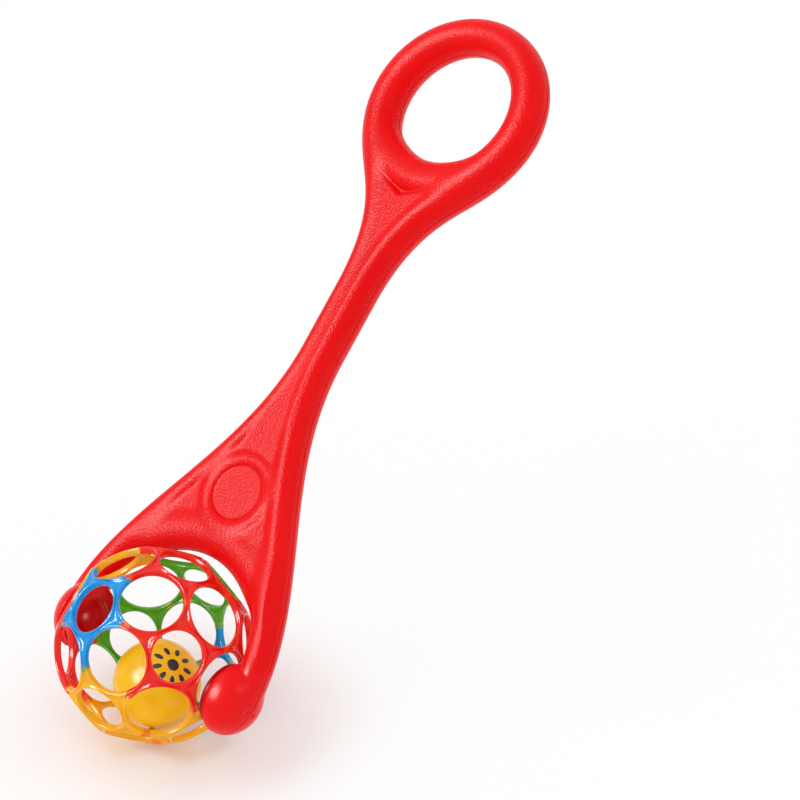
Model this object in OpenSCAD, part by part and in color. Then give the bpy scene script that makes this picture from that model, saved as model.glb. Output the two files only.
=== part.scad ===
// Push-along roller toy. A forked wand with a ring grip holds an openwork ball between the
// stubs of two knobs, and a loose hollow ball tumbles inside it as the toy is pushed along.
// Millimetres, +Z up, +X along the axle. The origin is where the ball meets the floor.

/* [Ball] */
// outside diameter of the openwork ball
ball_d = 100; // [85:1:130]
// depth of the ball's strands towards its middle
strand_t = 3.5; // [2.5:0.1:6]
// width of the strands between two of the twenty larger openings
long_strand_w = 4.4; // [3.2:0.1:8]
// width of the strands round the twelve smaller openings
ring_strand_w = 3.6; // [2.8:0.1:6.5]
// bevel along the edges of every opening
strand_bevel = 0.6; // [0.3:0.1:1.2]
// how far the leg of one star runs past the middle of its strand
leg_reach = 4.5; // [0:0.5:6]
// rest angle of the ball about its axle
ball_turn = 130; // [0:1:360]

/* [Rattle] */
// outside diameter of the loose inner ball
rattle_d = 45; // [36:1:50]
// wall of the loose inner ball
rattle_wall = 1.8; // [1.2:0.1:3]
// space left between the resting inner ball and the strands
rattle_gap = 0.4; // [0.2:0.1:1]
// lean of the inner ball's seam
rattle_lean = 36; // [0:1:90]

/* [Knobs and stubs] */
// diameter of the round knob at the end of each arm
knob_d = 37; // [32:0.5:44]
// how far the outer side of a knob bulges
knob_dome = 15; // [11:0.5:18]
// width of the band round the widest part of a knob
knob_rim = 2.5; // [1:0.5:5]
// bevel along the edge of a knob's face
knob_bevel = 1; // [0.4:0.1:2]
// space between the ball and the faces of the knobs
knob_gap = 0.8; // [0.5:0.1:2]
// clearance between a stub and the edge of the opening that hangs on it
stub_gap = 0.3; // [0.1:0.05:0.6]
// how far a stub reaches into the ball
stub_reach = 8; // [6:0.5:14]
// rounding of the end of a stub
stub_round = 3; // [1:0.5:5]
// how far the middle of the ball lies above the stubs
ball_rise = 6; // [3:0.5:8]
// how far the ball lies to the left of the middle of the fork
ball_shift = 1.5; // [0:0.5:3]

/* [Wand] */
// lean of the wand above the floor
tilt = 43.6; // [20:0.1:80]
// middle of the fork's stubs to the middle of the ring grip
reach = 318.7; // [280:1:420]
// wall of the two half shells
wall = 2.2; // [1.5:0.1:3]
// width of the rails along the arms
rail_w = 15; // [12:0.5:18]
// thickness of the rails beside the knobs
arm_t = 19; // [14:0.5:22]
// width of the arch over the ball
arch_w = 16; // [11:0.5:18]
// space between the ball and that arch
arch_gap = 2.5; // [2:0.5:8]
// inward lean of the arms
arm_lean = 1; // [0:1:16]
// stretch over which the arms run straight
arm_pull = 60; // [40:1:70]
// middle of the stubs to the start of the stem
yoke_len = 175; // [150:1:190]
// stretch over which the arms close into the stem
yoke_ease = 70; // [40:1:80]
// width of the stem
stem_w = 20.5; // [17:0.5:26]
// thickness of the stem
stem_t = 21; // [16:0.5:26]
// half the distance between the two rails in the stem
stem_x = 4; // [2:0.5:5]
// thickness of the recessed web between the arms
web_t = 14; // [10:0.5:16]

/* [Medallion] */
// middle of the stubs to the middle of the medallion
medal_y = 91.5; // [86:0.5:104]
// radius of the flat disc
medal_r = 14.7; // [10:0.1:18]
// width of the raised ring round the disc
medal_rim = 7; // [3:0.1:7]
// thickness through the disc
medal_t = 14.5; // [14:0.5:19]
// how far the raised ring stands above the disc
medal_rise = 2; // [0.5:0.1:2.5]

/* [Ring grip] */
// radius of the ring along the middle of its tube
ring_r = 42.6; // [36:0.1:60]
// width of the ring's tube
ring_w = 19.4; // [15:0.1:24]
// thickness of the ring's tube
ring_t = 23.2; // [16:0.2:28]
// end of the stem to the middle of the ring
neck_len = 107; // [90:1:130]
// stretch over which the stem opens
neck_pull = 66; // [30:1:70]
// stretch over which the rails run into the ring
ring_ease = 43; // [20:1:60]
// how far the ends of the rails lie inside the ring's tube
ring_step = 0.5; // [0.2:0.1:1]
// thickness of the recessed web below the ring
neck_web_t = 18; // [10:0.5:20]

/* [Locating pins] */
// radius of the pins that line up the half shells
pin_r = 1.5; // [1:0.1:2.5]
// height of the pins above the joint
pin_h = 3; // [2:0.5:5]
// clearance of the pins in their sockets
pin_gap = 0.2; // [0.1:0.05:0.4]
// wall of the posts round the pins
post_wall = 1.6; // [1:0.1:3]

/* [Hidden] */
$fn = 64;
ball_r = ball_d / 2;
cage_r = ball_r - strand_t;
rattle_r = rattle_d / 2;
past = 1;

// directions of the twelve smaller openings, in four rings of three about the axle
near_pole = acos(sqrt((5 + 2 * sqrt(5)) / 15));
near_middle = acos(sqrt((5 - 2 * sqrt(5)) / 15));
star_rings = [[near_pole, 0], [near_middle, 60], [180 - near_middle, 0], [180 - near_pole, 60]];
rays = [for (r = star_rings) for (k = [0:2]) ray(r[0], r[1] + 120 * k)];

// the openings, from the angle between their middles and the strand that lies there
large_apart = acos(sqrt(5) / 3);
large_a = (large_apart - arc_of(long_strand_w)) / 2;
small_a = near_pole - arc_of(ring_strand_w) - large_a;
large_hole_r = ball_r * sin(large_a);
small_hole_r = ball_r * sin(small_a);

// stubs and knobs, each placed by its distance from the middle of the fork
stub_r = large_hole_r - ball_rise - stub_gap;
knob_r = knob_d / 2;
hole_edge = sqrt(pow(ball_r, 2) - pow(large_hole_r, 2));
tip_u = hole_edge - stub_reach;
root_u = hole_edge + ball_shift + knob_gap;
knob_u = root_u + knob_rim;

// rails, arch and ring
rail_a = rail_w / 2;
stem_a = stem_w / 2 - stem_x;
ring_a = ring_w / 2;
ring_b = ring_t / 2;
arch_r = ball_r + arch_gap + arch_w / 2;
arch_y = ball_rise * sin(tilt);
arch_start = 25;
arm_x = knob_u + knob_dome - rail_a;
arm_pin = 0.28;
sides = 16;
dome_steps = 12;
big = reach + ring_r + ball_d;

// colour of each star, from amber to red in the order in which their legs overlap
hues = ["#f7a815", "#57b52f", "#1b9ad8", "#e5171b"];
star_rank = [3, 0, 3, 0, 2, 3, 2, 0, 1, 3, 1, 0];
star_names = ["star_red_1", "star_amber_1", "star_red_2", "star_amber_2", "star_blue_1",
    "star_red_3", "star_blue_2", "star_amber_3", "star_green_1", "star_red_4",
    "star_green_2", "star_amber_4"];
wand_red = "#dd1016";
rattle_yellow = "#f8b90c";

// the two curves that each rail follows, and the thickness along them
yoke_curve = [[arm_x, 0], [arm_x - arm_lean, arm_pull], [stem_x, yoke_len - yoke_ease],
    [stem_x, yoke_len]];
neck_y = reach - neck_len;
neck_curve = [[stem_x, neck_y], [stem_x, neck_y + neck_pull], [ring_r, reach - ring_ease],
    [ring_r, reach]];
yoke_steps = 24;
neck_steps = 20;
yoke_line = [for (i = [0:yoke_steps]) bezier(yoke_curve, i / yoke_steps)];
neck_line = [for (i = [0:neck_steps]) bezier(neck_curve, i / neck_steps)];
yoke_stations = [for (i = [0:yoke_steps]) let (t = i / yoke_steps)
    [yoke_line[i], heading(yoke_curve, t), blend(rail_a, stem_a, pow(t, 2)),
        blend(arm_t, stem_t, t) / 2]];
neck_stations = [for (i = [0:neck_steps]) let (t = i / neck_steps)
    [neck_line[i], heading(neck_curve, t), blend(stem_a, ring_a - ring_step, t),
        blend(stem_t / 2, ring_b - ring_step, t)]];
rail = concat(yoke_stations, neck_stations);
pins = [[0, medal_y], [0, (yoke_len + neck_y) / 2], [0, reach + ring_r],
    bezier(yoke_curve, arm_pin), mirrored(bezier(yoke_curve, arm_pin))];

function ray(p, a) = [cos(p), sin(p) * cos(a), sin(p) * sin(a)];
function arc_of(w) = w / ball_r * 180 / PI;
function blend(a, b, t) = a + (b - a) * t;
function unit(d) = d / norm(d);
function mirrored(p) = [-p[0], p[1]];
function flipped(line) = [for (i = [len(line) - 1:-1:0]) mirrored(line[i])];
function bezier(c, t) = pow(1 - t, 3) * c[0] + 3 * pow(1 - t, 2) * t * c[1]
    + 3 * (1 - t) * t * t * c[2] + pow(t, 3) * c[3];
function heading(c, t) = unit(pow(1 - t, 2) * (c[1] - c[0])
    + 2 * (1 - t) * t * (c[2] - c[1]) + t * t * (c[3] - c[2]));
function oval(x, a, b) = [for (k = [0:sides - 1]) let (t = 360 * k / sides) [x + a * cos(t), b * sin(t)]];
function neighbours(i) = [for (j = [0:11]) if (j != i && rays[i] * rays[j] > 0.4) j];
function corners(i) = [for (j = neighbours(i)) for (k = neighbours(i))
    if (j < k && rays[j] * rays[k] > 0.4) unit(rays[i] + rays[j] + rays[k])];
function lap(i, j) = sign(star_rank[i] - star_rank[j]) * leg_reach;
function bearing(d, h) = let (t = acos(d[2]), p = atan2(d[1], d[0]))
    atan2(h * [-sin(p), cos(p), 0], h * [cos(t) * cos(p), cos(t) * sin(p), -sin(t)]);

// turn +Z towards a direction
module aim(d) {
    rotate([0, acos(d[2] / norm(d)), atan2(d[1], d[0])]) children();
}

// place the wand: x along the axle, y up the stem, z out of its front face
module lean() {
    translate([ball_shift, 0, ball_r - ball_rise]) rotate([tilt, 0, 0]) children();
}

// an oval tube along a list of stations, each with a point, a heading and two half sizes
module sweep(stations, inset) {
    n = len(stations);
    points = [for (s = stations) for (k = [0:sides - 1]) let (c = cos(360 * k / sides))
        [s[0][0] + s[1][1] * (s[2] - inset) * c, s[0][1] - s[1][0] * (s[2] - inset) * c,
            (s[3] - inset) * sin(360 * k / sides)]];
    skin = [for (i = [0:n - 2]) for (k = [0:sides - 1]) let (m = (k + 1) % sides)
        [i * sides + k, i * sides + m, (i + 1) * sides + m, (i + 1) * sides + k]];
    first = [[for (k = [sides - 1:-1:0]) k]];
    last = [[for (k = [0:sides - 1]) (n - 1) * sides + k]];
    polyhedron(points, concat(skin, first, last), convexity = 6);
}

// the knob and stub at the end of the right arm, or with an inset the hollow behind the knob's face
module knob(inset) {
    floor_u = root_u + inset;
    first = inset > 0 ? asin((floor_u - knob_u) / (knob_dome - inset)) : 0;
    dome = [for (k = [0:dome_steps]) let (a = blend(first, 90, k / dome_steps))
        [(knob_r - inset) * cos(a), knob_u + (knob_dome - inset) * sin(a)]];
    face = [[0, tip_u], [stub_r - stub_round, tip_u], [stub_r, tip_u + stub_round], [stub_r, root_u],
        [knob_r - knob_bevel, root_u], [knob_r, root_u + knob_bevel]];
    rotate([0, 90, 0]) rotate_extrude() polygon(concat(inset > 0 ? [[0, floor_u]] : face, dome));
}

// the arch over the ball
module arch(inset) {
    translate([0, arch_y, 0]) rotate([0, 0, arch_start])
        rotate_extrude(angle = 180 - 2 * arch_start, $fn = 96)
        polygon(oval(arch_r, arch_w / 2 - inset, arm_t / 2 - inset));
}

// the recessed webs between the arms and below the ring
module webs(inset) {
    linear_extrude(height = web_t - 2 * inset, center = true) difference() {
        polygon(concat(yoke_line, flipped(yoke_line)));
        translate([0, arch_y]) circle(arch_r);
    }
    linear_extrude(height = neck_web_t - 2 * inset, center = true) difference() {
        polygon(concat(neck_line, flipped(neck_line)));
        translate([0, reach]) circle(ring_r);
    }
}

// the disc and its raised ring, on both faces
module medallion(inset) {
    rim_z = (medal_t - medal_rim) / 2 + medal_rise;
    translate([0, medal_y, 0])
        cylinder(r = medal_r + medal_rim / 2 - inset, h = medal_t - 2 * inset, center = true);
    if (inset == 0)
        for (s = [-1, 1]) translate([0, medal_y, s * rim_z]) rotate_extrude()
            translate([medal_r + medal_rim / 2, 0]) circle(medal_rim / 2, $fn = 16);
}

// the whole wand, or with an inset the hollow inside it
module wand(inset) {
    for (s = [0, 1]) mirror([s, 0, 0]) {
        sweep(rail, inset);
        knob(inset);
    }
    arch(inset);
    webs(inset);
    medallion(inset);
    translate([0, reach, 0]) rotate_extrude($fn = 96) polygon(oval(ring_r, ring_a - inset, ring_b - inset));
}

module posts(r) {
    for (p = pins) translate([p[0], p[1], 0]) cylinder(r = r, h = big, $fn = 24);
}

// one half shell on the +Z side of the joint
module half_shell() {
    difference() {
        intersection() {
            wand(0);
            translate([-big, -big, 0]) cube(2 * big);
        }
        difference() {
            wand(wall);
            posts(pin_r + pin_gap + post_wall);
        }
    }
}

module handle_front_half() {
    color(wand_red) lean() difference() {
        half_shell();
        for (p = pins) translate([p[0], p[1], -past])
            cylinder(r = pin_r + pin_gap, h = pin_h + pin_gap + past, $fn = 24);
    }
}

module handle_back_half() {
    color(wand_red) lean() {
        mirror([0, 0, 1]) half_shell();
        for (p = pins) translate([p[0], p[1], -past]) cylinder(r = pin_r, h = pin_h + past, $fn = 24);
    }
}

// cutter for one opening, flared at the inside and the outside of the ball
module opening(r) {
    outside = sqrt(ball_r * ball_r - r * r);
    inside = sqrt(cage_r * cage_r - r * r);
    wide = r + strand_bevel;
    rotate_extrude() polygon([[0, inside - past], [wide, inside - past], [wide, inside],
        [r, inside + strand_bevel], [r, outside - strand_bevel], [wide, outside],
        [wide, ball_r + past], [0, ball_r + past]]);
}

// the slice of the ball that one star takes, up to the ends of its five legs
module slice(i) {
    intersection() {
        aim(rays[i]) rotate([0, 0, bearing(rays[i], corners(i)[0])]) difference() {
            sphere(ball_r);
            sphere(cage_r);
        }
        intersection_for (j = neighbours(i)) aim(rays[j] - rays[i])
            translate([-ball_d, -ball_d, lap(i, j) - 2 * ball_d]) cube(2 * ball_d);
    }
}

// one moulded star: a ring round a smaller opening with five legs
module star(i) {
    color(hues[star_rank[i]]) translate([0, 0, ball_r]) rotate([ball_turn, 0, 0]) difference() {
        slice(i);
        aim(rays[i]) opening(small_hole_r);
        for (h = corners(i)) aim(h) opening(large_hole_r);
    }
}

// the loose inner ball, in two halves that meet at its seam
module rattle_half(side) {
    color(rattle_yellow) translate([0, 0, strand_t + rattle_gap + rattle_r]) rotate([0, rattle_lean, 0])
        difference() {
            sphere(rattle_r);
            sphere(rattle_r - rattle_wall);
            translate([-rattle_d, -rattle_d, side > 0 ? -2 * rattle_d : 0]) cube(2 * rattle_d);
        }
}

module rattle_upper_half() {
    rattle_half(1);
}

module rattle_lower_half() {
    rattle_half(-1);
}

handle_front_half();
handle_back_half();
for (i = [0:11]) star(i);
rattle_upper_half();
rattle_lower_half();
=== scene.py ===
import itertools
import math
import bmesh
import bpy
import numpy as np
from mathutils import Matrix, Vector


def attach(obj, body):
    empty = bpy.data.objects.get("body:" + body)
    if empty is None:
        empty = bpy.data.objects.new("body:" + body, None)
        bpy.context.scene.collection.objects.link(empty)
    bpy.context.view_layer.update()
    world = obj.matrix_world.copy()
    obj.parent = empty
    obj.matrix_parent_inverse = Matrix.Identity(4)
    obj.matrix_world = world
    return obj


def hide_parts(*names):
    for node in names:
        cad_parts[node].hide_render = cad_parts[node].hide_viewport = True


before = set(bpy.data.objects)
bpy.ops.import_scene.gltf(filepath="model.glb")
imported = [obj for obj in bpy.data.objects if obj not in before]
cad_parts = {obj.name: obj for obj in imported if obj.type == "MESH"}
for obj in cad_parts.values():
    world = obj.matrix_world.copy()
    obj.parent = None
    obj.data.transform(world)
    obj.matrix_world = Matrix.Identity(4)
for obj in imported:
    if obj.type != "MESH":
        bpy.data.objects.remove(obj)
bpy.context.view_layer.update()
scene = bpy.context.scene
mm = 0.001
print("frame loaded:", len(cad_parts), "nodes")


# node wiring, shared by the materials and the Geometry Nodes trees

class Wire:                             # one socket of a tree, so that maths reads as maths
    def __init__(self, tree, socket):
        self.tree = tree
        self.socket = socket

    def math(self, operation, *others):
        node = self.tree.nodes.new("ShaderNodeMath")
        node.operation = operation
        for socket, value in zip(node.inputs, (self,) + others):
            plug(self.tree, socket, value)
        return Wire(self.tree, node.outputs[0])

    def swapped(self, operation, other):  # for 1 - mask and the like
        node = self.tree.nodes.new("ShaderNodeMath")
        node.operation = operation
        node.inputs[0].default_value = other
        plug(self.tree, node.inputs[1], self)
        return Wire(self.tree, node.outputs[0])

    def ease(self, low, high, way="SMOOTHSTEP"):  # 0 below low, 1 above high, smooth between
        node = self.tree.nodes.new("ShaderNodeMapRange")
        node.interpolation_type = way
        plug(self.tree, node.inputs[0], self)
        node.inputs[1].default_value = low
        node.inputs[2].default_value = high
        return Wire(self.tree, node.outputs[0])

    def ramp(self, low, high):          # the same, straight between
        return self.ease(low, high, "LINEAR")

    def __add__(self, other):
        return self.math("ADD", other)

    __radd__ = __add__

    def __sub__(self, other):
        return self.math("SUBTRACT", other)

    def __rsub__(self, other):
        return self.swapped("SUBTRACT", other)

    def __mul__(self, other):
        return self.math("MULTIPLY", other)

    __rmul__ = __mul__

    def __truediv__(self, other):
        return self.math("DIVIDE", other)

    def __rtruediv__(self, other):
        return self.swapped("DIVIDE", other)

    def __abs__(self):
        return self.math("ABSOLUTE")


def plug(tree, socket, value):
    if isinstance(value, Wire):
        tree.links.new(value.socket, socket)
    else:
        socket.default_value = value


class Board:                            # a tree and the one method that adds any other node
    def __init__(self, tree):
        self.tree = tree

    def add(self, kind, settings=None, sockets=None, out=0):
        node = self.tree.nodes.new(kind)
        for name, value in (settings or {}).items():
            setattr(node, name, value)
        for name, value in (sockets or {}).items():
            plug(self.tree, node.inputs[name], value)
        return Wire(self.tree, node.outputs[out])

    def vec(self, operation, *values, out=0):
        return self.add("ShaderNodeVectorMath", {"operation": operation}, dict(enumerate(values)), out)

    def scaled(self, vector, amount):
        return self.add("ShaderNodeVectorMath", {"operation": "SCALE"}, {"Vector": vector, "Scale": amount})

    def mix(self, factor, low, high):
        return self.add("ShaderNodeMix", {"data_type": "RGBA"}, {0: factor, 6: low, 7: high}, out=2)


def shade(red, green, blue):            # an sRGB colour from 0 to 255, as the shaders take it
    def linear(level):
        level /= 255
        return level / 12.92 if level <= 0.04045 else ((level + 0.055) / 1.055) ** 2.4
    return (linear(red), linear(green), linear(blue), 1)


def newFinish(name, **fixed):           # a material and its board, shader and Object coordinates
    material = bpy.data.materials.new(name)
    material.use_nodes = True
    board = Board(material.node_tree)
    shader = material.node_tree.nodes["Principled BSDF"]
    for socket, value in fixed.items():
        shader.inputs[socket.replace("_", " ")].default_value = value
    coords = board.add("ShaderNodeTexCoord", out=3)
    return material, board, shader, coords


def grain(board, coords, size, detail=2.0):  # fine noise over a piece, its size in millimetres
    sockets = {"Vector": coords, "Scale": 1 / (size * mm), "Detail": detail}
    return board.add("ShaderNodeTexNoise", None, sockets)


def addBump(board, shader, relief, look):
    sockets = {"Strength": look["bumpStrength"], "Distance": look["bump"] * mm, "Height": relief}
    plug(board.tree, shader.inputs["Normal"], board.add("ShaderNodeBump", None, sockets))


def newTree(name, **sizes):             # a Geometry Nodes tree with named inputs for its sizes
    tree = bpy.data.node_groups.new(name, "GeometryNodeTree")
    tree.interface.new_socket("Geometry", in_out="INPUT", socket_type="NodeSocketGeometry")
    tree.interface.new_socket("Geometry", in_out="OUTPUT", socket_type="NodeSocketGeometry")
    for label, value in sizes.items():
        socket = tree.interface.new_socket(label, in_out="INPUT", socket_type="NodeSocketFloat")
        socket.default_value = value
    entry = tree.nodes.new("NodeGroupInput")
    inputs = {socket.name: Wire(tree, socket) for socket in entry.outputs if socket.name}
    return tree, Board(tree), inputs


def closeTree(tree, board, geometry, material):
    geometry = board.add("GeometryNodeRealizeInstances", None, {"Geometry": geometry})
    geometry = board.add("GeometryNodeSetMaterial", None, {"Geometry": geometry, "Material": material})
    plug(tree, tree.nodes.new("NodeGroupOutput").inputs[0], geometry)


def joined(board, *parts):              # several geometries as one
    node = board.tree.nodes.new("GeometryNodeJoinGeometry")
    for part in parts:
        board.tree.links.new(part.socket, node.inputs[0])
    return Wire(board.tree, node.outputs[0])


def grow(name, base, tree):             # run a tree on a base mesh and keep the result as a plain mesh
    seed = bpy.data.objects.new(name + "Seed", base)
    scene.collection.objects.link(seed)
    modifier = seed.modifiers.new("shape", "NODES")
    modifier.node_group = tree
    graph = bpy.context.evaluated_depsgraph_get()
    mesh = bpy.data.meshes.new_from_object(seed.evaluated_get(graph), depsgraph=graph)
    seed.modifiers.clear()
    bpy.data.objects.remove(seed)
    return newPiece(name, mesh)


def newPiece(name, mesh, material=None):
    mesh.name = name
    if material:
        mesh.materials.append(material)
    mesh.shade_smooth()
    piece = bpy.data.objects.new(name, mesh)
    scene.collection.objects.link(piece)
    return piece


def meshOf(name, points, faces):
    mesh = bpy.data.meshes.new(name)
    mesh.from_pydata([tuple(p) for p in points], [], [tuple(f) for f in faces])
    return mesh


def turnAboutX(points, degrees):
    c, s = math.cos(math.radians(degrees)), math.sin(math.radians(degrees))
    return np.asarray(points) @ np.array([[1, 0, 0], [0, c, -s], [0, s, c]]).T


# sizes of the openwork ball in millimetres, which the wand is built round as well

ball = {
    "diameter": 100,
    "strandDepth": 3.5,
    "longStrand": 4.4,
    "ringStrand": 3.6,
    "legReach": 4.5,
    "turn": 130,                        # degrees about the axle
    "edgeRound": 0.85,
    "dip": 0.95,                        # how far the middle of a strand lies under its two rims
    "dipAtNodes": 1.5,                  # the same where three strands meet
    "nodeReach": 3.6,                   # and how far from there it evens out
    "tipLong": 2.6,                     # rounded end of a leg that laps over the next star's
    "tipThin": 0.35,                    # share of its height that the very end loses
    "tipOpen": 0.02,                    # share of its width that is left there
    "tuck": 3.0,                        # how far the leg below runs on under it
    "swell": 0.16,                      # how much fuller the upper leg is
    "swellReach": 7,                    # over this length
    "weldReach": 6,                     # length of the tinted end of a leg
    "strandSteps": 16,
    "legStops": 15,
    "tipStops": 8,
}

ballR = ball["diameter"] / 2
strandMid = ballR - ball["strandDepth"] / 2
nearPole = math.acos(math.sqrt((5 + 2 * math.sqrt(5)) / 15))  # the stars lie this far from the axle
nearMiddle = math.acos(math.sqrt((5 - 2 * math.sqrt(5)) / 15))
largeAngle = (math.acos(math.sqrt(5) / 3) - ball["longStrand"] / ballR) / 2
smallAngle = nearPole - ball["ringStrand"] / ballR - largeAngle
largeHole = ballR * math.sin(largeAngle)
smallHole = ballR * math.sin(smallAngle)
holeEdge = math.sqrt(ballR ** 2 - largeHole ** 2)


# the wand: one smooth skin round its rails, ring, arch, webs, medallion and knobs

wand = {
    "tilt": 43.6,
    "reach": 318.7,                     # from the axle to the middle of the ring
    "ballRise": 6,
    "ballShift": 1.5,
    "knobRound": 18.5,
    "knobDome": 15,
    "knobRim": 2.5,
    "knobGap": 0.8,
    "knobEdge": 2.4,
    "knobSoft": 0.8,
    "knobGroove": 2.0,                  # groove between the dome of a knob and its hub
    "grooveEdge": 0.5,
    "hubRound": 16.4,
    "hubReach": 3.2,                    # how far the right hub stands out to the ball
    "hubEdge": 0.8,
    "pit": 2.4,                         # rounding of the moulding mark on a knob
    "pitAt": (-2.4, 3.0),               # its place across the axle
    "pitStand": 0.65,                   # how much of that rounding lies outside the knob
    "pitEdge": 0.3,
    "stubGap": 0.3,
    "stubReach": 8,
    "stubRound": 11,
    "stubSoft": 4,
    "rail": (7.5, 9.5),                 # half width and half thickness beside the knobs
    "stem": (6.25, 10.5),
    "stemApart": 4,
    "arch": (12, 9.2),
    "archGap": 2.5,
    "archShare": 0.36,                  # the arch and its web end inside the arms
    "archSinkLong": 22,                 # and the arch sinks into them over this length
    "armLean": 1,
    "armPull": 60,
    "yokeLength": 175,
    "yokeEase": 70,
    "webHalf": 7.8,
    "webRise": 2.4,                     # how much thicker the web is where the arms close
    "webClose": 136,                    # and where it is that thick
    "medalAt": 91.5,
    "medalRound": 14.7,
    "medalRing": 5,                     # rounding of the soft ring round the disc
    "medalRingAt": 18.5,
    "medalHalf": 7.25,
    "medalRise": 2,
    "wellEdge": 0.5,
    "ringRound": 42.6,
    "ring": (9.7, 11.6),
    "ringFoot": 3,                      # how much wider the ring is where it meets the neck
    "footSpan": (0.5, 1),
    "neckLength": 107,
    "neckPull": 66,
    "ringEase": 43,
    "railSink": 4.5,                    # how far the ends of the rails dive into the ring
    "sinkSpan": (0.5, 1),
    "pocketAt": 263.5,                  # lower corner of the V-shaped dip below the ring
    "pocketSlope": 0.5,
    "pocketDip": 3.2,
    "pocketLong": 3.5,
    "stemSoft": 5,                      # fillets between the forms
    "railSoft": 5.5,
    "archSoft": 6,
    "medalSoft": 4,
    "crease": 1.2,
    "clearEdge": 1,
    "seamDip": 0.35,                    # depth of the groove along the parting line
    "seamWide": 0.5,
    "bendSteps": 181,
    "stemSteps": 41,
    "grid": 0.85,                       # spacing of the skin
    "gridLow": (-72.5, -21.5, -1.5),    # and the box that it is found in
    "gridSize": (145, 394, 22),
}

wandLook = {
    "reds": ((234, 2, 6), (240, 4, 9)),  # its clouds run from one to the other
    "seamRed": (176, 4, 10),
    "seamTint": 0.25,
    "seamAt": 0.75,                     # second line on either side of the joint
    "seamSoft": 0.45,
    "seamDepth": 0.5,
    "hubShadeRed": (150, 0, 6),              # painted shade: the hubs lie in the shade of the knobs, so they are painted darker
    "hubShadeTint": 0.7,
    "hubShadeFrom": (-1.2, 0.6),             # where the painted shade lies along the axle, from the root of a knob
    "hubShadeSoft": 0.6,
    "grainFrom": (-2, 3),               # from the rim of a knob, which is smoother
    "knobGrain": 0.25,
    "cloud": 60,
    "cloudSpan": (0.35, 0.65),
    "pebble": 1.1,
    "pebbleSoft": 0.6,
    "pebbleShare": 0.6,
    "fine": 0.6,
    "fineShare": 0.4,
    "bump": 0.3,
    "bumpStrength": 0.9,
    "rough": 0.26,
    "grainRough": 0.07,
    "cloudRough": 0.04,
    "knobCoat": 0.15,
}

wandFoot = np.array([wand["ballShift"], 0, ballR - wand["ballRise"]])
rootAt = holeEdge + wand["ballShift"] + wand["knobGap"]
knobAt = rootAt + wand["knobRim"]
tipAt = holeEdge - wand["stubReach"]
stubR = largeHole - wand["ballRise"] - wand["stubGap"]
armAt = knobAt + wand["knobDome"] - wand["rail"][0]
archR = ballR + wand["archGap"] + wand["arch"][0]
archAt = wand["ballRise"] * math.sin(math.radians(wand["tilt"]))  # the ball's middle in the wand's plane
ballOut = wand["ballRise"] * math.cos(math.radians(wand["tilt"]))  # and in front of it
archLow = archAt + archR * wand["archShare"]
archHigh = archLow + wand["archSinkLong"]
webFrom = wand["medalAt"] + wand["medalRingAt"]
pitOff = math.hypot(*wand["pitAt"]) / wand["knobRound"]
pitOut = knobAt + wand["knobDome"] * math.sqrt(1 - pitOff ** 2) + wand["pit"] * wand["pitStand"]


def fromWand(points):                   # wand millimetres to metres in the frame
    return (turnAboutX(points, wand["tilt"]) + wandFoot) * mm


def wandFinish(look):
    material, board, shader, coords = newFinish("wandRed", Specular_IOR_Level=0.1, Coat_Roughness=0.18)
    tilt = math.radians(wand["tilt"])
    front = (0, -math.sin(tilt), math.cos(tilt))  # out of the wand's front face
    away = board.vec("SUBTRACT", coords, tuple(wandFoot * mm))
    height = board.vec("DOT_PRODUCT", away, front, out=1) * (1 / mm)
    sideways = board.vec("DOT_PRODUCT", away, (1, 0, 0), out=1) * (1 / mm)
    offAxle = board.vec("LENGTH", board.vec("MULTIPLY", away, (0, 1, 1)), out=1) * (1 / mm)
    grained = offAxle.ease(*(wand["knobRound"] + step for step in look["grainFrom"]))
    seam = 1 - abs(abs(height) - look["seamAt"]).ease(0.0, look["seamSoft"])
    # hub: where shade is painted on the hubs under the knobs
    hub = 1 - abs(sideways).ease(*(rootAt + step for step in look["hubShadeFrom"]))
    hub = hub * (1 - offAxle.ease(wand["knobRound"] - look["hubShadeSoft"], wand["knobRound"]))
    cloud = grain(board, coords, look["cloud"])
    fine = grain(board, coords, look["fine"])
    pebbleSockets = {"Vector": coords, "Scale": 1 / (look["pebble"] * mm), "Smoothness": look["pebbleSoft"]}
    pebble = board.add("ShaderNodeTexVoronoi", {"feature": "SMOOTH_F1"}, pebbleSockets)
    colour = board.mix(cloud.ease(*look["cloudSpan"]), *(shade(*red) for red in look["reds"]))
    colour = board.mix(seam * look["seamTint"], colour, shade(*look["seamRed"]))
    # painted shade on the hubs, darker red where the knobs shade them
    colour = board.mix(hub * look["hubShadeTint"], colour, shade(*look["hubShadeRed"]))
    rough = look["rough"] + look["grainRough"] * grained + look["cloudRough"] * cloud
    plug(board.tree, shader.inputs["Base Color"], colour)
    plug(board.tree, shader.inputs["Roughness"], rough)
    plug(board.tree, shader.inputs["Coat Weight"], look["knobCoat"] * (1 - grained) * (1 - hub))
    relief = pebble * look["pebbleShare"] + fine * look["fineShare"]
    relief = relief * (look["knobGrain"] + (1 - look["knobGrain"]) * grained) - seam * look["seamDepth"]
    addBump(board, shader, relief, look)
    return material


def bezier(corners, t):
    a, b, c, d = (np.array(p, float) for p in corners)
    t = t[:, None]
    return (1 - t) ** 3 * a + 3 * (1 - t) ** 2 * t * b + 3 * (1 - t) * t * t * c + t ** 3 * d


def easeStep(value, low, high):         # 0 below low, 1 above high, smooth between
    t = np.clip((value - low) / (high - low), 0, 1)
    return t * t * (3 - 2 * t)


def melt(a, b, k):                      # union with a fillet about k wide
    h = np.maximum(k - np.abs(a - b), 0) / k
    return np.minimum(a, b) - h * h * k / 4


def carve(a, b, k):                     # intersection with a round edge
    return -melt(-a, -b, k)


def tube(gap, z, a, b):
    return (np.sqrt((gap / a) ** 2 + (z / b) ** 2) - 1) * (a + b) / 2


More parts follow.
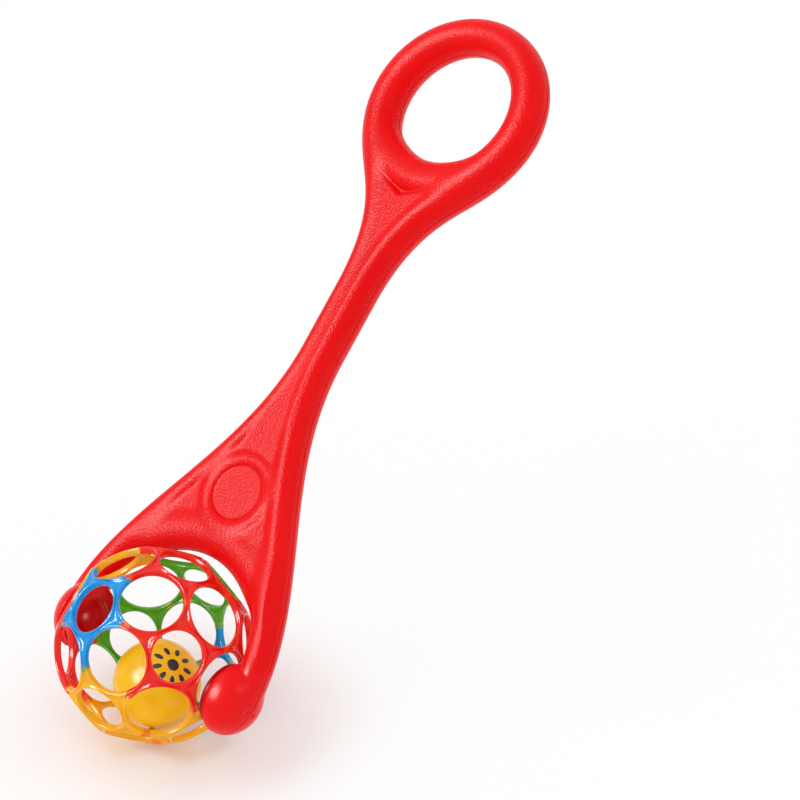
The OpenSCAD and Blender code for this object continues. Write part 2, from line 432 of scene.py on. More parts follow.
def railLine():                         # points, directions and half sizes along the right rail
    apart, reach, yokeEnd = wand["stemApart"], wand["reach"], wand["yokeLength"]
    neckAt = reach - wand["neckLength"]
    yoke = [(armAt, 0), (armAt - wand["armLean"], wand["armPull"]),
            (apart, yokeEnd - wand["yokeEase"]), (apart, yokeEnd)]
    neck = [(apart, neckAt), (apart, neckAt + wand["neckPull"]),
            (wand["ringRound"], reach - wand["ringEase"]), (wand["ringRound"], reach)]
    t = np.linspace(0, 1, wand["bendSteps"])
    middle = np.linspace(0, 1, wand["stemSteps"])[1:-1]
    straight = np.stack([np.full_like(middle, apart), yokeEnd + (neckAt - yokeEnd) * middle], 1)
    points = np.vstack([bezier(yoke, t), straight, bezier(neck, t)])
    sink = wand["railSink"] * easeStep(t, *wand["sinkSpan"])
    (a0, b0), (a1, b1), (a2, b2) = wand["rail"], wand["stem"], wand["ring"]
    halfWide = np.concatenate([a0 + (a1 - a0) * t ** 2, np.full_like(middle, a1), a1 + (a2 - a1) * t - sink])
    halfThick = np.concatenate([b0 + (b1 - b0) * t, np.full_like(middle, b1), b1 + (b2 - b1) * t - sink])
    step = np.gradient(points, axis=0)
    way = step / np.linalg.norm(step, axis=1)[:, None]
    run = np.concatenate([[0], np.cumsum(np.linalg.norm(np.diff(points, axis=0), axis=1))])
    return points, way, run, halfWide, halfThick


railPoints, railWay, railRun, railWide, railThick = railLine()
alongWand = np.arange(0, 330)           # every millimetre to past the middle of the ring
railX = np.interp(alongWand, railPoints[:, 1], railPoints[:, 0])
batch = 20000                           # points worked out at a time


def nearRail(flat):                     # distance to the right rail in the plane, and its half sizes there
    out = np.empty((len(flat), 3))
    for start in range(0, len(flat), batch):
        part = flat[start:start + batch]
        square = ((part[:, None, :] - railPoints[None]) ** 2).sum(2)
        k = square.argmin(1)
        away = part - railPoints[k]
        along = (away * railWay[k]).sum(1)
        along = np.where(k == 0, np.maximum(along, 0), along)  # both ends are round
        along = np.where(k == len(railPoints) - 1, np.minimum(along, 0), along)
        at = railRun[k] + along
        out[start:start + batch, 0] = np.sqrt(np.maximum((away ** 2).sum(1) - along ** 2, 0))
        out[start:start + batch, 1] = np.interp(at, railRun, railWide)
        out[start:start + batch, 2] = np.interp(at, railRun, railThick)
    return out


def flatParts(flat):                    # what depends on the place in the wand's plane alone
    side = np.stack([np.abs(flat[:, 0]), flat[:, 1]], 1)
    other = side * np.array([-1, 1])
    return side, nearRail(side), nearRail(other)


def archField(y, z, between, archSpan):
    arch = tube(np.abs(archSpan - archR), z, *wand["arch"])
    arch = arch + wand["railSink"] * (1 - easeStep(y, archLow, archHigh))
    return np.maximum(arch, np.maximum(archLow - y, between))


def webField(x, y, high, between, archSpan, ringIn):
    top = wand["webHalf"] + wand["webRise"] * easeStep(y, webFrom, wand["webClose"])
    pocketEnd = wand["pocketAt"] + wand["pocketLong"]
    top = top - wand["pocketDip"] * easeStep(y - wand["pocketSlope"] * x, wand["pocketAt"], pocketEnd)
    web = np.maximum(np.maximum(between, archR - archSpan), np.maximum(ringIn, high - top))
    return np.maximum(web, np.maximum(archLow - y, y - wand["reach"]))


def knobField(across, x, off):          # dome, hub and the groove between them
    bulge = np.maximum(x - knobAt, 0) / wand["knobDome"]
    shell = (np.sqrt((off / wand["knobRound"]) ** 2 + bulge ** 2) - 1) * wand["knobRound"]
    hubOut = wand["hubReach"] * (across > 0)  # the ball lies to the left, so only on the right
    hub = carve(np.maximum(off - wand["hubRound"], x - knobAt), rootAt - hubOut - x, wand["hubEdge"])
    groove = np.hypot(off - wand["knobRound"], x + hubOut - knobAt) - wand["knobGroove"]
    knob = np.minimum(carve(shell, rootAt - x, wand["knobEdge"]), hub)
    return carve(knob, -groove, wand["grooveEdge"])


def wandField(flat, z, parts):          # below 0 inside the wand
    side, right, left = parts
    x, y = side[:, 0], side[:, 1]
    high = np.abs(z)
    body = melt(tube(right[:, 0], z, right[:, 1], right[:, 2]),
                tube(left[:, 0], z, left[:, 1], left[:, 2]), wand["stemSoft"])
    span = np.hypot(x, y - wand["reach"])
    ringIn = wand["ringRound"] - span
    below = (wand["reach"] - y) / np.maximum(span, 1)  # 1 on the neck's side of the ring
    foot = wand["ringFoot"] * easeStep(below, *wand["footSpan"]) * (ringIn > 0)
    body = melt(body, tube(np.abs(ringIn), z, wand["ring"][0] + foot, wand["ring"][1]), wand["railSoft"])
    between = x - np.interp(y, alongWand, railX)
    archSpan = np.hypot(x, y - archAt)
    body = melt(body, archField(y, z, between, archSpan), wand["archSoft"])
    spot = np.hypot(x, y - wand["medalAt"])
    ringZ = wand["medalHalf"] + wand["medalRise"] - wand["medalRing"]
    rise = np.hypot(spot - wand["medalRingAt"], high - ringZ) - wand["medalRing"]
    body = melt(body, rise, wand["medalSoft"])
    body = melt(body, webField(x, y, high, between, archSpan, ringIn), wand["crease"])
    disc = np.maximum(spot - wand["medalRingAt"], high - wand["medalHalf"])
    well = np.maximum(spot - wand["medalRound"], wand["medalHalf"] - high)
    body = carve(np.minimum(body, disc), -well, wand["wellEdge"])
    clear = ballR + wand["ballShift"] + wand["knobGap"]  # the fillets stay off the ball
    body = carve(body, clear - np.sqrt(archSpan ** 2 + (high - ballOut) ** 2), wand["clearEdge"])
    off = np.hypot(y, z)
    body = melt(body, knobField(flat[:, 0], x, off), wand["knobSoft"])
    pitSquare = (y - wand["pitAt"][0]) ** 2 + (high - wand["pitAt"][1]) ** 2 + (x - pitOut) ** 2
    body = carve(body, wand["pit"] - np.sqrt(pitSquare), wand["pitEdge"])
    stub = carve(np.maximum(off - stubR, x - knobAt), tipAt - x, wand["stubRound"])
    return melt(body, stub, wand["stubSoft"])


def netSkin(values, low, step):         # surface nets: one point per crossed cell, one quad per crossed edge
    inside = values < 0
    cells = tuple(n - 1 for n in values.shape)
    def corner(grid, c):
        return grid[c[0]:c[0] + cells[0], c[1]:c[1] + cells[1], c[2]:c[2] + cells[2]]
    corners = list(itertools.product((0, 1), repeat=3))
    count = sum(corner(inside, c).astype(np.int8) for c in corners)
    active = (count > 0) & (count < len(corners))
    where = np.argwhere(active)
    held = {c: corner(values, c)[active] for c in corners}
    total = np.zeros((len(where), 3))
    hits = np.zeros(len(where))
    for c in corners:
        for axis in range(3):
            if c[axis]:
                continue
            d = tuple(v + (1 if n == axis else 0) for n, v in enumerate(c))
            crossed = (held[c] < 0) != (held[d] < 0)
            share = held[c] / np.where(crossed, held[c] - held[d], 1)
            place = np.array(c, float)[None] + share[:, None] * np.eye(3)[axis]
            total += np.where(crossed[:, None], place, 0)
            hits += crossed
    points = low + (where + total / hits[:, None]) * step
    index = np.full(cells, -1)
    index[active] = np.arange(len(where))
    quads = []
    for axis in range(3):
        p, q = [n for n in range(3) if n != axis]
        first = [slice(None)] * 3
        first[axis] = slice(0, cells[axis])
        first[p] = slice(1, cells[p])
        first[q] = slice(1, cells[q])
        second = list(first)
        second[axis] = slice(1, cells[axis] + 1)
        here, there = inside[tuple(first)], inside[tuple(second)]
        def near(dp, dq):
            part = [slice(None)] * 3
            part[p] = slice(1 - dp, cells[p] - dp)
            part[q] = slice(1 - dq, cells[q] - dq)
            return index[tuple(part)]
        ring = np.stack([near(1, 1), near(0, 1), near(0, 0), near(1, 0)], -1)
        flip = -1 if axis == 1 else 1
        quads.append(ring[here & ~there][:, ::flip])
        quads.append(ring[~here & there][:, ::-flip])
    return points, np.vstack(quads)


nudge = 0.05                            # step over which slopes are measured
leastSteep = 0.2
mostShift = 0.6
onJoint = 0.001                         # points this near the parting plane lie on it


def fieldSlope(points, axes=(0, 1, 2)):  # the field at some points, and its slopes there
    parts = flatParts(points[:, :2])
    here = wandField(points[:, :2], points[:, 2], parts)
    slope = np.empty((len(points), len(axes)))
    for axis in axes:
        moved = points.copy()
        moved[:, axis] += nudge
        near = flatParts(moved[:, :2]) if axis < 2 else parts
        slope[:, axis] = (wandField(moved[:, :2], moved[:, 2], near) - here) / nudge
    return here, slope


def settle(points, passes=3):           # move skin points on to the true surface
    for _ in range(passes):
        here, slope = fieldSlope(points)
        shift = here / np.maximum((slope ** 2).sum(1), leastSteep)
        points = points - slope * np.clip(shift, -mostShift, mostShift)[:, None]
    return points


def halfSkin():                         # front half in wand millimetres, with a groove along the joint
    step = wand["grid"]
    low = np.array(wand["gridLow"])
    size = tuple(int(math.ceil(span / step)) for span in wand["gridSize"])
    axes = [low[n] + step * np.arange(size[n]) for n in range(3)]
    flat = np.stack(np.meshgrid(axes[0], axes[1], indexing="ij"), -1).reshape(-1, 2)
    parts = flatParts(flat)
    values = np.stack([wandField(flat, np.full(len(flat), z), parts) for z in axes[2]], -1)
    points, quads = netSkin(values.reshape(size), low, step)
    skin = meshOf("skin", settle(points), quads)
    body = bmesh.new()
    body.from_mesh(skin)
    bpy.data.meshes.remove(skin)
    for level, keep in ((wand["seamWide"], True), (0.0, False)):
        bmesh.ops.bisect_plane(body, geom=body.verts[:] + body.edges[:] + body.faces[:], dist=1e-4,
                               plane_co=(0, 0, level), plane_no=(0, 0, 1), clear_inner=not keep)
    edge = [v for v in body.verts if abs(v.co.z) < onJoint]
    slope = fieldSlope(np.array([v.co[:] for v in edge]), axes=(0, 1))[1]
    for v, change in zip(edge, np.clip(slope, -1, 1) * wand["seamDip"]):
        v.co.x -= change[0]
        v.co.y -= change[1]
    rimEdges = [e for e in body.edges if e.is_boundary]
    bmesh.ops.triangle_fill(body, use_beauty=False, use_dissolve=False, edges=rimEdges)
    bmesh.ops.recalc_face_normals(body, faces=body.faces[:])
    mesh = bpy.data.meshes.new("wandHalf")
    body.to_mesh(mesh)
    body.free()
    return mesh


def placeHalf(name, source, side, material):
    mesh = source.copy()
    points = np.empty(len(mesh.vertices) * 3, np.float32)
    mesh.vertices.foreach_get("co", points)
    points = fromWand(points.reshape(-1, 3) * np.array([1, 1, side]))
    mesh.vertices.foreach_set("co", points.astype(np.float32).ravel())
    if side < 0:
        mesh.flip_normals()
    mesh.update()
    return newPiece(name, mesh, material)


wandRed = wandFinish(wandLook)
halfMesh = halfSkin()
for name, node, side in (("wandFront", "handle_front_half", 1), ("wandBack", "handle_back_half", -1)):
    piece = placeHalf(name, halfMesh, side, wandRed)
    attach(piece, "handle")
    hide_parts(node)
bpy.data.meshes.remove(halfMesh)


# the openwork ball: twelve stars, each a ring with five legs

starLook = {
    "colours": {                        # each laps over the ones before it
        "amber": (255, 182, 10),
        "green": (92, 190, 36),
        "blue": (0, 156, 234),
        "red": (246, 32, 14),
    },
    "bleeds": {                         # what shows where another colour ran into a star
        "amber": (244, 120, 20),
        "green": (170, 190, 40),
        "blue": (120, 176, 70),
        "red": (240, 84, 20),
    },
    "shaded": 0.86,                     # the darker of the two tones of a colour
    "cloud": 9,
    "cloudDetail": 3.0,
    "cloudSpan": (0.3, 0.7),
    "drift": 24,
    "weldShare": 0.45,
    "patchSpan": (0.62, 0.72),
    "patchTint": 0.85,
    "rough": 0.2,
    "cloudRough": 0.1,
    "fine": 0.7,
    "bump": 0.1,
    "bumpStrength": 0.12,
}
starNames = ["star_red_1", "star_amber_1", "star_red_2", "star_amber_2", "star_blue_1", "star_red_3",
             "star_blue_2", "star_amber_3", "star_green_1", "star_red_4", "star_green_2", "star_amber_4"]
hueOrder = list(starLook["colours"])
starHues = [name.split("_")[1] for name in starNames]
starRanks = [hueOrder.index(hue) for hue in starHues]


def starFinish(hue, look):              # soft gloss strand, tinted where the next colour was welded on
    name = "star" + hue.capitalize()
    gloss = {"Coat_Weight": 0.4, "Coat_Roughness": 0.08, "Specular_IOR_Level": 0.1}
    material, board, shader, coords = newFinish(name, **gloss)
    body = shade(*look["colours"][hue])
    shaded = tuple(look["shaded"] * c for c in body[:3]) + (1,)
    weld = board.add("ShaderNodeAttribute", {"attribute_name": "weld"}, out=2)
    cloud = grain(board, coords, look["cloud"], look["cloudDetail"])
    drift = grain(board, coords, look["drift"])
    patch = (weld * look["weldShare"] + drift).ease(*look["patchSpan"])
    colour = board.mix(cloud.ease(*look["cloudSpan"]), body, shaded)
    colour = board.mix(patch * look["patchTint"], colour, shade(*look["bleeds"][hue]))
    plug(board.tree, shader.inputs["Base Color"], colour)
    plug(board.tree, shader.inputs["Roughness"], look["rough"] + look["cloudRough"] * cloud)
    addBump(board, shader, grain(board, coords, look["fine"]), look)
    return material


def unit(v):
    v = np.asarray(v, float)
    return v / np.linalg.norm(v)


def starRays():
    rings = [(nearPole, 0), (nearMiddle, 60), (math.pi - nearMiddle, 0), (math.pi - nearPole, 60)]
    rays = []
    for polar, first in rings:
        for k in range(3):
            a = math.radians(first + 120 * k)
            rays.append((math.cos(polar), math.sin(polar) * math.cos(a), math.sin(polar) * math.sin(a)))
    return np.array(rays)


smallDirs = starRays()                  # the openings in the rings of the stars
starCount = len(smallDirs)
nearStars = 0.4                         # stars side by side have a cosine above this
nearOpenings = 0.7                      # and so have large openings


def sideBySide(stars):
    return all(smallDirs[a] @ smallDirs[b] > nearStars for a, b in itertools.combinations(stars, 2))


touching = [trio for trio in itertools.combinations(range(starCount), 3) if sideBySide(trio)]
largeDirs = np.array([unit(smallDirs[list(trio)].sum(0)) for trio in touching])  # those between three stars
holeDirs = np.vstack([smallDirs, largeDirs])
smallOpening = math.asin(smallHole / strandMid)
largeOpening = math.asin(largeHole / strandMid)
holeAngles = np.array([smallOpening] * starCount + [largeOpening] * len(largeDirs))
power = holeDirs / np.cos(holeAngles)[:, None]


def meeting(i, a, b):                   # where the strands round three openings meet
    point = unit(np.cross(power[i] - power[a], power[a] - power[b]))
    return point if point @ holeDirs[i] > 0 else -point


def starNodes(i):                       # the five corners of a star: its two large openings at each
    larges = [starCount + n for n, trio in enumerate(touching) if i in trio]
    return [(a, b) for a, b in itertools.combinations(larges, 2) if holeDirs[a] @ holeDirs[b] > nearOpenings]


def otherStar(i, a, b):                 # the star at the far end of the leg between openings a and b
    shared = set(touching[a - starCount]) & set(touching[b - starCount])
    return (shared - {i}).pop()


rows = np.array([0, 0.06, 0.14, 0.19, 0.25, 0.3, 0.35, 0.4, 0.45, 0.5])
rows = np.concatenate([rows, 1 - rows[-2::-1]])  # round a strand, from its top to its foot
starLayers = ("mid", "hole", "row", "large", "spread", "weld", "close", "full")


class StarNet:                          # the mesh of one star before the tree sets its places
    def __init__(self):
        self.keys = {}
        self.layers = {name: [] for name in starLayers}
        self.faces = []

    def point(self, sample, opening, n):
        tag, direction, *shares = sample
        row = rows[n]
        key = (tag, row) if row in (0, 1) else (tag, opening, n)
        if key not in self.keys:
            self.keys[key] = len(self.keys)
            values = (direction, holeDirs[opening], row, float(opening >= starCount), *shares)
            for name, value in zip(starLayers, values):
                self.layers[name].append(value)
        return self.keys[key]

    def band(self, samples, opening):
        for s, e in zip(samples, samples[1:]):
            for n in range(len(rows) - 1):
                quad = [self.point(s, opening, n), self.point(e, opening, n),
                        self.point(e, opening, n + 1), self.point(s, opening, n + 1)]
                turn = np.cross(e[1] - s[1], holeDirs[opening] - s[1]) @ s[1]
                self.faces.append(quad if turn > 0 else quad[::-1])

    def cap(self, sample, a, b):
        loop = [self.point(sample, a, n) for n in range(len(rows))]
        loop += [self.point(sample, b, n) for n in range(len(rows) - 2, 0, -1)]
        middle = sample[1]
        ahead = np.cross(holeDirs[a] - middle, holeDirs[b] - middle) @ middle
        self.faces.append(loop if ahead < 0 else loop[::-1])


def along(start, end, t):               # a point of the arc between two directions
    angle = math.acos(np.clip(start @ end, -1, 1))
    return (math.sin((1 - t) * angle) * start + math.sin(t * angle) * end) / math.sin(angle)


def nodeShare(t, angle):                # 1 where three strands meet, 0 from the node's reach on
    return max(0.0, 1 - min(t, 1 - t) * angle * strandMid / ball["nodeReach"])


def strandSamples(start, end, startTag, endTag):
    angle = math.acos(np.clip(start @ end, -1, 1))
    count = ball["strandSteps"]
    samples = []
    for n in range(count + 1):
        t = n / count
        tag = startTag if n == 0 else endTag if n == count else (startTag, endTag, n)
        samples.append((tag, along(start, end, t), nodeShare(t, angle), 0.0, 0.0, 0.0))
    return samples


# a leg out to its reach in millimetres, with a round tip if it lies on top
def legSamples(start, end, tag, reach, upper):
    angle = math.acos(start @ end)
    length = angle * strandMid
    tip = ball["tipLong"] if upper else 0.0
    stops = list(np.linspace(0, reach - tip, ball["legStops"]))
    if upper:
        stops += [reach - tip + tip * math.sin(a) for a in np.linspace(0, math.pi / 2, ball["tipStops"])[1:]]
    samples = []
    for n, stop in enumerate(stops):
        past = max(0.0, stop - (reach - tip)) / tip if upper else 0.0
        close = min(1 - math.sqrt(max(0.0, 1 - past * past)), 1 - ball["tipOpen"])
        full = min(1.0, max(0.0, 1 - (reach - stop) / ball["swellReach"])) if upper else 0.0
        weld = max(0.0, 1 - (reach - stop) / ball["weldReach"])
        t = stop / length
        name = tag if n == 0 else (tag, "leg", n)
        samples.append((name, along(start, end, t), nodeShare(t, angle), weld, close, full))
    return samples


def starNet(i):
    net = StarNet()
    corners = starNodes(i)
    for a in sorted({h for pair in corners for h in pair}):
        ends = [pair for pair in corners if a in pair]
        spots = [meeting(i, *pair) for pair in ends]
        samples = strandSamples(spots[0], spots[1], ends[0], ends[1])
        net.band(samples, i)
        net.band(samples, a)
    for a, b in corners:
        j = otherStar(i, a, b)
        start, end = meeting(i, a, b), meeting(j, a, b)
        half = math.acos(start @ end) * strandMid / 2
        rank = np.sign(starRanks[i] - starRanks[j]) or np.sign(i - j)
        same = starRanks[i] == starRanks[j]
        lap = 0 if same else rank * ball["legReach"]
        reach = half + lap + (ball["tipLong"] / 2 if rank > 0 else ball["tuck"])
        samples = legSamples(start, end, (a, b), reach, rank > 0)
        net.band(samples, a)
        net.band(samples, b)
        net.cap(samples[-1], a, b)
    return net


sideEnd = 0.1                           # shares of the way from an opening's side to a strand's middle
edgeEnd = 0.5
dipSpan = (0.52, 0.9)


def starTree(material):                 # places every point of a star from its row and its opening
    tree, board, size = newTree("starShape", ballRadius=ballR * mm, strandDepth=ball["strandDepth"] * mm,
                                edgeRound=ball["edgeRound"] * mm, dip=ball["dip"] * mm,
                                dipAtNodes=ball["dipAtNodes"] * mm, swell=ball["swell"] * mm,
                                smallOpening=smallOpening, largeOpening=largeOpening)
    def field(name, kind="FLOAT"):
        return board.add("GeometryNodeInputNamedAttribute", {"data_type": kind}, {"Name": name})
    mid, hole = field("mid", "FLOAT_VECTOR"), field("hole", "FLOAT_VECTOR")
    row, large, spread, close, full = (field(name) for name in ("row", "large", "spread", "close", "full"))
    middle = size["ballRadius"] - size["strandDepth"] * 0.5
    opening = size["smallOpening"] + large * (size["largeOpening"] - size["smallOpening"])
    reach = board.vec("DOT_PRODUCT", mid, hole, out=1).math("ARCCOSINE")
    extra = size["swell"] * full
    opening = opening - extra / middle
    opening = opening + (reach - opening) * close
    across = (reach - opening) * middle
    edge = size["edgeRound"].math("MINIMUM", across)
    h = abs(row - 0.5) * 2              # 0 at the opening, 1 at the middle of the strand
    turn = h.ramp(sideEnd, edgeEnd) * (math.pi / 2)
    inward = edge * (1 - turn.math("COSINE")) + (across - edge) * h.ramp(edgeEnd, 1.0)
    sag = (size["dip"] + (size["dipAtNodes"] - size["dip"]) * spread) * (1 - close)
    lift = (size["strandDepth"] * 0.5 - size["edgeRound"]) * h.ramp(0.0, sideEnd)
    lift = lift + size["edgeRound"] * turn.math("SINE") - sag * h.ease(*dipSpan) + extra
    lift = lift * (1 - close * ball["tipThin"])
    upper = (0.5 - row).math("SIGN")
    angle = opening + inward / middle
    radius = middle + upper * lift
    square = board.vec("NORMALIZE", board.vec("SUBTRACT", mid, board.scaled(hole, reach.math("COSINE"))))
    place = board.vec("ADD", board.scaled(hole, angle.math("COSINE") * radius),
                      board.scaled(square, angle.math("SINE") * radius))
    shape = board.add("GeometryNodeSetPosition", None, {"Geometry": size["Geometry"], "Position": place})
    turned = (math.radians(ball["turn"]), 0, 0)
    shape = board.add("GeometryNodeTransform", None, {
        "Geometry": shape, "Rotation": turned, "Translation": (0, 0, ballR * mm)})
    closeTree(tree, board, shape, material)
    return tree


def starBase(net):
    mesh = meshOf("starBase", net.layers["mid"], net.faces)
    for name, values in net.layers.items():
        values = np.asarray(values, np.float32)
        kind, key = ("FLOAT_VECTOR", "vector") if values.ndim > 1 else ("FLOAT", "value")
        mesh.attributes.new(name, kind, "POINT").data.foreach_set(key, values.ravel())
    return mesh


starTrees = {hue: starTree(starFinish(hue, starLook)) for hue in hueOrder}
for i, name in enumerate(starNames):
    pieceName = "star" + "".join(word.capitalize() for word in name.split("_")[1:])
    star = grow(pieceName, starBase(starNet(i)), starTrees[starHues[i]])
    for layer in starLayers:
        if layer != "weld" and layer in star.data.attributes:  # the finish reads the weld
            star.data.attributes.remove(star.data.attributes[layer])
    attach(star, "ball")
    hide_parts(name)
print("ball strung:", len(starNames), "stars")


# the loose inner ball and its print

rattle = {
    "diameter": 45,
    "gap": 0.4,
    "lean": 36,
    "seam": 0.35,
    "seamBevel": (0.5, 0.35),           # shares of the seam, across and up
    "rows": 40,
    "around": 128,
    "petals": 9,
    "petalLong": 6.0,
    "petalWide": 2.8,
    "petalAt": 9.0,
    "eye": 3.2,
    "film": 0.06,                       # thickness of the printed ink
    "sunk": 0.15,                       # how far its underside lies in the ball
    "filmMerge": 0.001,
    "printSides": 36,
    "printSplits": 2,
}

rattleLook = {
    "yellows": ((255, 206, 16), (255, 194, 8)),
    "cloud": 14,
    "cloudDetail": 3.0,
    "cloudSpan": (0.3, 0.7),
    "rough": 0.26,
    "fineRough": 0.1,
    "fine": 0.6,
    "bump": 0.1,
    "bumpStrength": 0.1,
}

inkLook = {
    "blacks": ((20, 16, 14), (34, 28, 24)),
    "wear": 1.2,
    "wearSpan": (0.4, 0.7),
    "rough": 0.3,
    "wearRough": 0.2,
}

rattleR = rattle["diameter"] / 2
rattleAt = np.array([0, 0, ball["strandDepth"] + rattle["gap"] + rattleR])
lean = math.radians(rattle["lean"])
rattleTurn = np.array([[math.cos(lean), 0, math.sin(lean)], [0, 1, 0], [-math.sin(lean), 0, math.cos(lean)]])


def rattleFinish(look):
    gloss = {"Coat_Weight": 0.15, "Coat_Roughness": 0.1, "Specular_IOR_Level": 0.15}
    material, board, shader, coords = newFinish("rattleYellow", **gloss)
    cloud = grain(board, coords, look["cloud"], look["cloudDetail"])
    fine = grain(board, coords, look["fine"])
    colour = board.mix(cloud.ease(*look["cloudSpan"]), *(shade(*yellow) for yellow in look["yellows"]))
    plug(board.tree, shader.inputs["Base Color"], colour)
    plug(board.tree, shader.inputs["Roughness"], look["rough"] + look["fineRough"] * fine)
    addBump(board, shader, fine, look)
    return material


def inkFinish(look):
    material, board, shader, coords = newFinish("printedBlack", Coat_Weight=0.1)
    wear = grain(board, coords, look["wear"])
    colour = board.mix(wear.ease(*look["wearSpan"]), *(shade(*black) for black in look["blacks"]))
    plug(board.tree, shader.inputs["Base Color"], colour)
    plug(board.tree, shader.inputs["Roughness"], look["rough"] + look["wearRough"] * wear)
    return material


def rattleHalf(name, side, material):   # a lathe-turned half with a small bevel at the seam
    seam = rattle["seam"]
    bevelIn, bevelUp = rattle["seamBevel"]
    around = rattle["around"]
    low = math.asin(seam / rattleR)
    profile = []
    for n in range(1, rattle["rows"] + 1):
        a = math.pi / 2 + (low - math.pi / 2) * n / rattle["rows"]
        profile.append((rattleR * math.cos(a), rattleR * math.sin(a)))
    profile += [(rattleR - seam * bevelIn, seam * bevelUp), (rattleR - seam, 0.0)]
    turns = np.linspace(0, 2 * math.pi, around, endpoint=False)
    points = [(0, 0, rattleR)]
    for r, z in profile:
        points += [(r * math.cos(t), r * math.sin(t), z) for t in turns]
    faces = [(0, 1 + k, 1 + (k + 1) % around) for k in range(around)]
    for n in range(len(profile) - 1):
        upper = 1 + n * around
        lower = upper + around
        for k in range(around):
            m = (k + 1) % around
            faces.append((upper + k, lower + k, lower + m, upper + m))
    last = 1 + (len(profile) - 1) * around
    faces.append(tuple(last + k for k in reversed(range(around))))
    places = (np.array(points) * np.array([1, 1, side]) @ rattleTurn.T + rattleAt) * mm
    mesh = meshOf(name, places, faces if side > 0 else [f[::-1] for f in faces])
    return newPiece(name, mesh, material)


def printTree(material):                # petals round a dot, laid on the inner ball as a film of ink
    tree, board, size = newTree("petalPrint", ballRadius=rattleR * mm, petals=rattle["petals"],
                                petalLong=rattle["petalLong"] * mm, petalWide=rattle["petalWide"] * mm,
                                petalAt=rattle["petalAt"] * mm, eye=rattle["eye"] * mm,
                                film=rattle["film"] * mm, sunk=rattle["sunk"] * mm)
    def disc():
        sockets = {"Vertices": rattle["printSides"], "Radius": 1.0}
        return board.add("GeometryNodeMeshCircle", {"fill_type": "TRIANGLE_FAN"}, sockets)
    def spot(x, y=0.0, z=0.0):
        return board.add("ShaderNodeCombineXYZ", None, {0: x, 1: y, 2: z})
    petal = board.add("GeometryNodeTransform", None, {
        "Geometry": disc(), "Translation": spot(size["petalAt"]),
        "Scale": spot(size["petalLong"] * 0.5, size["petalWide"] * 0.5, 1.0)})
    seats = board.add("GeometryNodeMeshLine", None, {"Count": size["petals"], "Offset": (0, 0, 0)})
    index = board.add("GeometryNodeInputIndex")
    spin = board.add("FunctionNodeAxisAngleToRotation", None, {
        "Axis": (0, 0, 1), "Angle": index * (2 * math.pi) / size["petals"]})
    ring = board.add("GeometryNodeInstanceOnPoints", None, {
        "Points": seats, "Instance": petal, "Rotation": spin})
    ring = board.add("GeometryNodeRealizeInstances", None, {"Geometry": ring})
    dot = board.add("GeometryNodeTransform", None, {
        "Geometry": disc(), "Scale": spot(size["eye"], size["eye"], 1.0)})
    sheet = board.add("GeometryNodeSubdivideMesh", None, {
        "Mesh": joined(board, ring, dot), "Level": rattle["printSplits"]})
    place = board.add("GeometryNodeInputPosition")
    outward = board.vec("NORMALIZE", board.vec("ADD", place, spot(0.0, 0.0, size["ballRadius"])))
    low = board.scaled(outward, size["ballRadius"] - size["sunk"])
    under = board.add("GeometryNodeSetPosition", None, {"Geometry": sheet, "Position": low})
    upper = board.add("GeometryNodeExtrudeMesh", {"mode": "FACES"}, {
        "Mesh": under, "Offset": board.vec("NORMALIZE", place), "Offset Scale": size["film"] + size["sunk"],
        "Individual": False})
    film = board.add("GeometryNodeMergeByDistance", None, {
        "Geometry": joined(board, upper, under), "Distance": rattle["filmMerge"] * mm})
    film = board.add("GeometryNodeTransform", None, {
        "Geometry": film, "Rotation": (0, lean, 0), "Translation": tuple(rattleAt * mm)})
    closeTree(tree, board, film, material)
    return tree


def faceOutwards(mesh):
    body = bmesh.new()
    body.from_mesh(mesh)
    bmesh.ops.recalc_face_normals(body, faces=body.faces[:])
    body.to_mesh(mesh)
    body.free()


rattleYellow = rattleFinish(rattleLook)
for name, node, side in (("rattleUpper", "rattle_upper_half", 1), ("rattleLower", "rattle_lower_half", -1)):
    half = rattleHalf(name, side, rattleYellow)
    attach(half, "rattle")
    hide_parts(node)
seat = meshOf("printSeat", [(0, 0, 0)], [])
rosette = grow("rattleRosette", seat, printTree(inkFinish(inkLook)))
faceOutwards(rosette.data)
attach(rosette, "rattle")
print("inner ball turned and printed")


# floor, light and camera

stage = {
    "size": 8.0,
    "white": 0.98,
    "rough": 0.9,
    "fade": (0.045, 0.13),              # metres from the ball over which the floor turns white
    "fadeMost": 0.85,
}


def seenRay(board):                     # 1 for rays from the camera, a mirror or glass
    path = board.tree.nodes.new("ShaderNodeLightPath")
    camera, glossy, glass = (Wire(board.tree, path.outputs["Is %s Ray" % kind])
                             for kind in ("Camera", "Glossy", "Transmission"))
    return (camera + glossy + glass).math("MINIMUM", 1.0)


def floorFinish():                      # white floor far out, the shadow near the ball
    white = stage["white"]
    plain = {"Base_Color": (white, white, white, 1), "Roughness": stage["rough"], "Specular_IOR_Level": 0.0}
    material, board, shader, coords = newFinish("floorWhite", **plain)
    glow = board.add("ShaderNodeEmission", None, {"Color": (1, 1, 1, 1), "Strength": 1.0})
    far = board.vec("LENGTH", coords, out=1).ease(*stage["fade"]) * stage["fadeMost"]
    mixed = board.add("ShaderNodeMixShader", None, {
        0: far * seenRay(board), 1: Wire(board.tree, shader.outputs[0]), 2: glow})
    plug(board.tree, board.tree.nodes["Material Output"].inputs["Surface"], mixed)
    return material


floorCorners = [(x * stage["size"], y * stage["size"], 0) for x, y in ((-1, -1), (1, -1), (1, 1), (-1, 1))]
floor = newPiece("floor", meshOf("floor", floorCorners, [(0, 1, 2, 3)]), floorFinish())

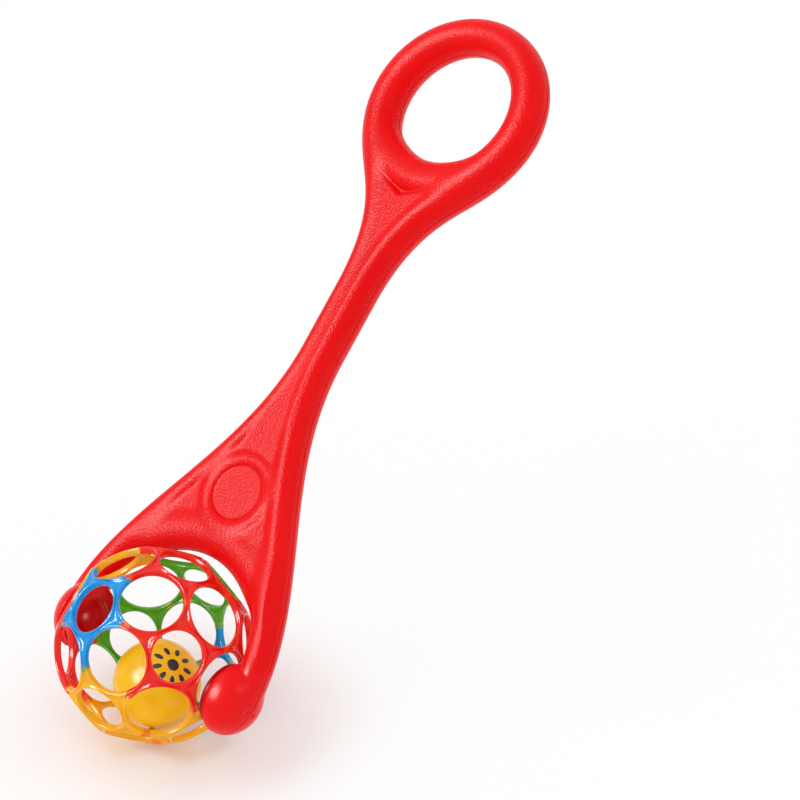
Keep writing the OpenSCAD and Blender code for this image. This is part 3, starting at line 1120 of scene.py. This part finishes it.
light = {
    "sky": 0.74,
    "key": 0.5,                         # soft light with the shadow on the floor
    "keyWide": 45,
    "keyTravel": (0.425, 0.242, -0.872),
    "fill": 0.5,                        # front light without a shadow
    "fillWide": 30,
    "fillTravel": (0.21, 0.72, -0.66),
    "gloss": 8.5,                       # what the wand's face, the knobs and the strands reflect
    "glossWide": 38,
    "edge": 0.2,                        # light from the right, on the knob and the right sides
    "edgeWide": 24,
    "edgeTravel": (-0.79, -0.29, -0.54),
}
world = bpy.data.worlds.new("studio")
scene.world = world
world.use_nodes = True
backdrop = world.node_tree.nodes["Background"]
backdrop.inputs["Color"].default_value = (1, 1, 1, 1)
skyStrength = light["sky"] + seenRay(Board(world.node_tree)) * (1 - light["sky"])
plug(world.node_tree, backdrop.inputs["Strength"], skyStrength)


def addSun(name, energy, wide, travel, shadow=False, glossOnly=False):
    data = bpy.data.lights.new(name, "SUN")
    data.energy = energy
    data.angle = math.radians(wide)
    data.use_shadow = shadow
    sun = bpy.data.objects.new(name, data)
    sun.visible_diffuse = not glossOnly
    sun.rotation_euler = Vector(travel).to_track_quat("-Z", "Y").to_euler()
    scene.collection.objects.link(sun)


addSun("keySun", light["key"], light["keyWide"], light["keyTravel"], shadow=True)
addSun("fillSun", light["fill"], light["fillWide"], light["fillTravel"])
addSun("glossSun", light["gloss"], light["glossWide"], light["fillTravel"], glossOnly=True)
addSun("edgeSun", light["edge"], light["edgeWide"], light["edgeTravel"])

lens = {
    "imageWide": 800,
    "pixels": 2442.0,                   # focal length in pixels of that image
    "sensor": 36,
    "farthest": 50,
    "turn": [[0.748948, 0.474851, -0.462162],  # right, down and forward as the wand's frame has them
             [0.337295, -0.873544, -0.350932],
             [-0.570359, 0.106945, -0.814404]],
    "shift": [-122.45, 129.19, 1230.80],  # the middle of the fork as the camera sees it, in millimetres
}
rotation = np.array(lens["turn"])
eye = fromWand((-rotation.T @ np.array(lens["shift"]))[None])[0]
axes = turnAboutX(rotation * np.array([[1], [-1], [-1]]), wand["tilt"])
cameraData = bpy.data.cameras.new("camera")
cameraData.sensor_width = lens["sensor"]
cameraData.sensor_fit = "HORIZONTAL"
cameraData.lens = lens["pixels"] / lens["imageWide"] * lens["sensor"]
cameraData.clip_end = lens["farthest"]
camera = bpy.data.objects.new("camera", cameraData)
placed = Matrix.Identity(4)
for n in range(3):
    placed[n][3] = eye[n]
    for m in range(3):
        placed[n][m] = axes[m][n]
camera.matrix_world = placed
scene.collection.objects.link(camera)
scene.camera = camera
scene.view_settings.view_transform = "Standard"
print("stage set")
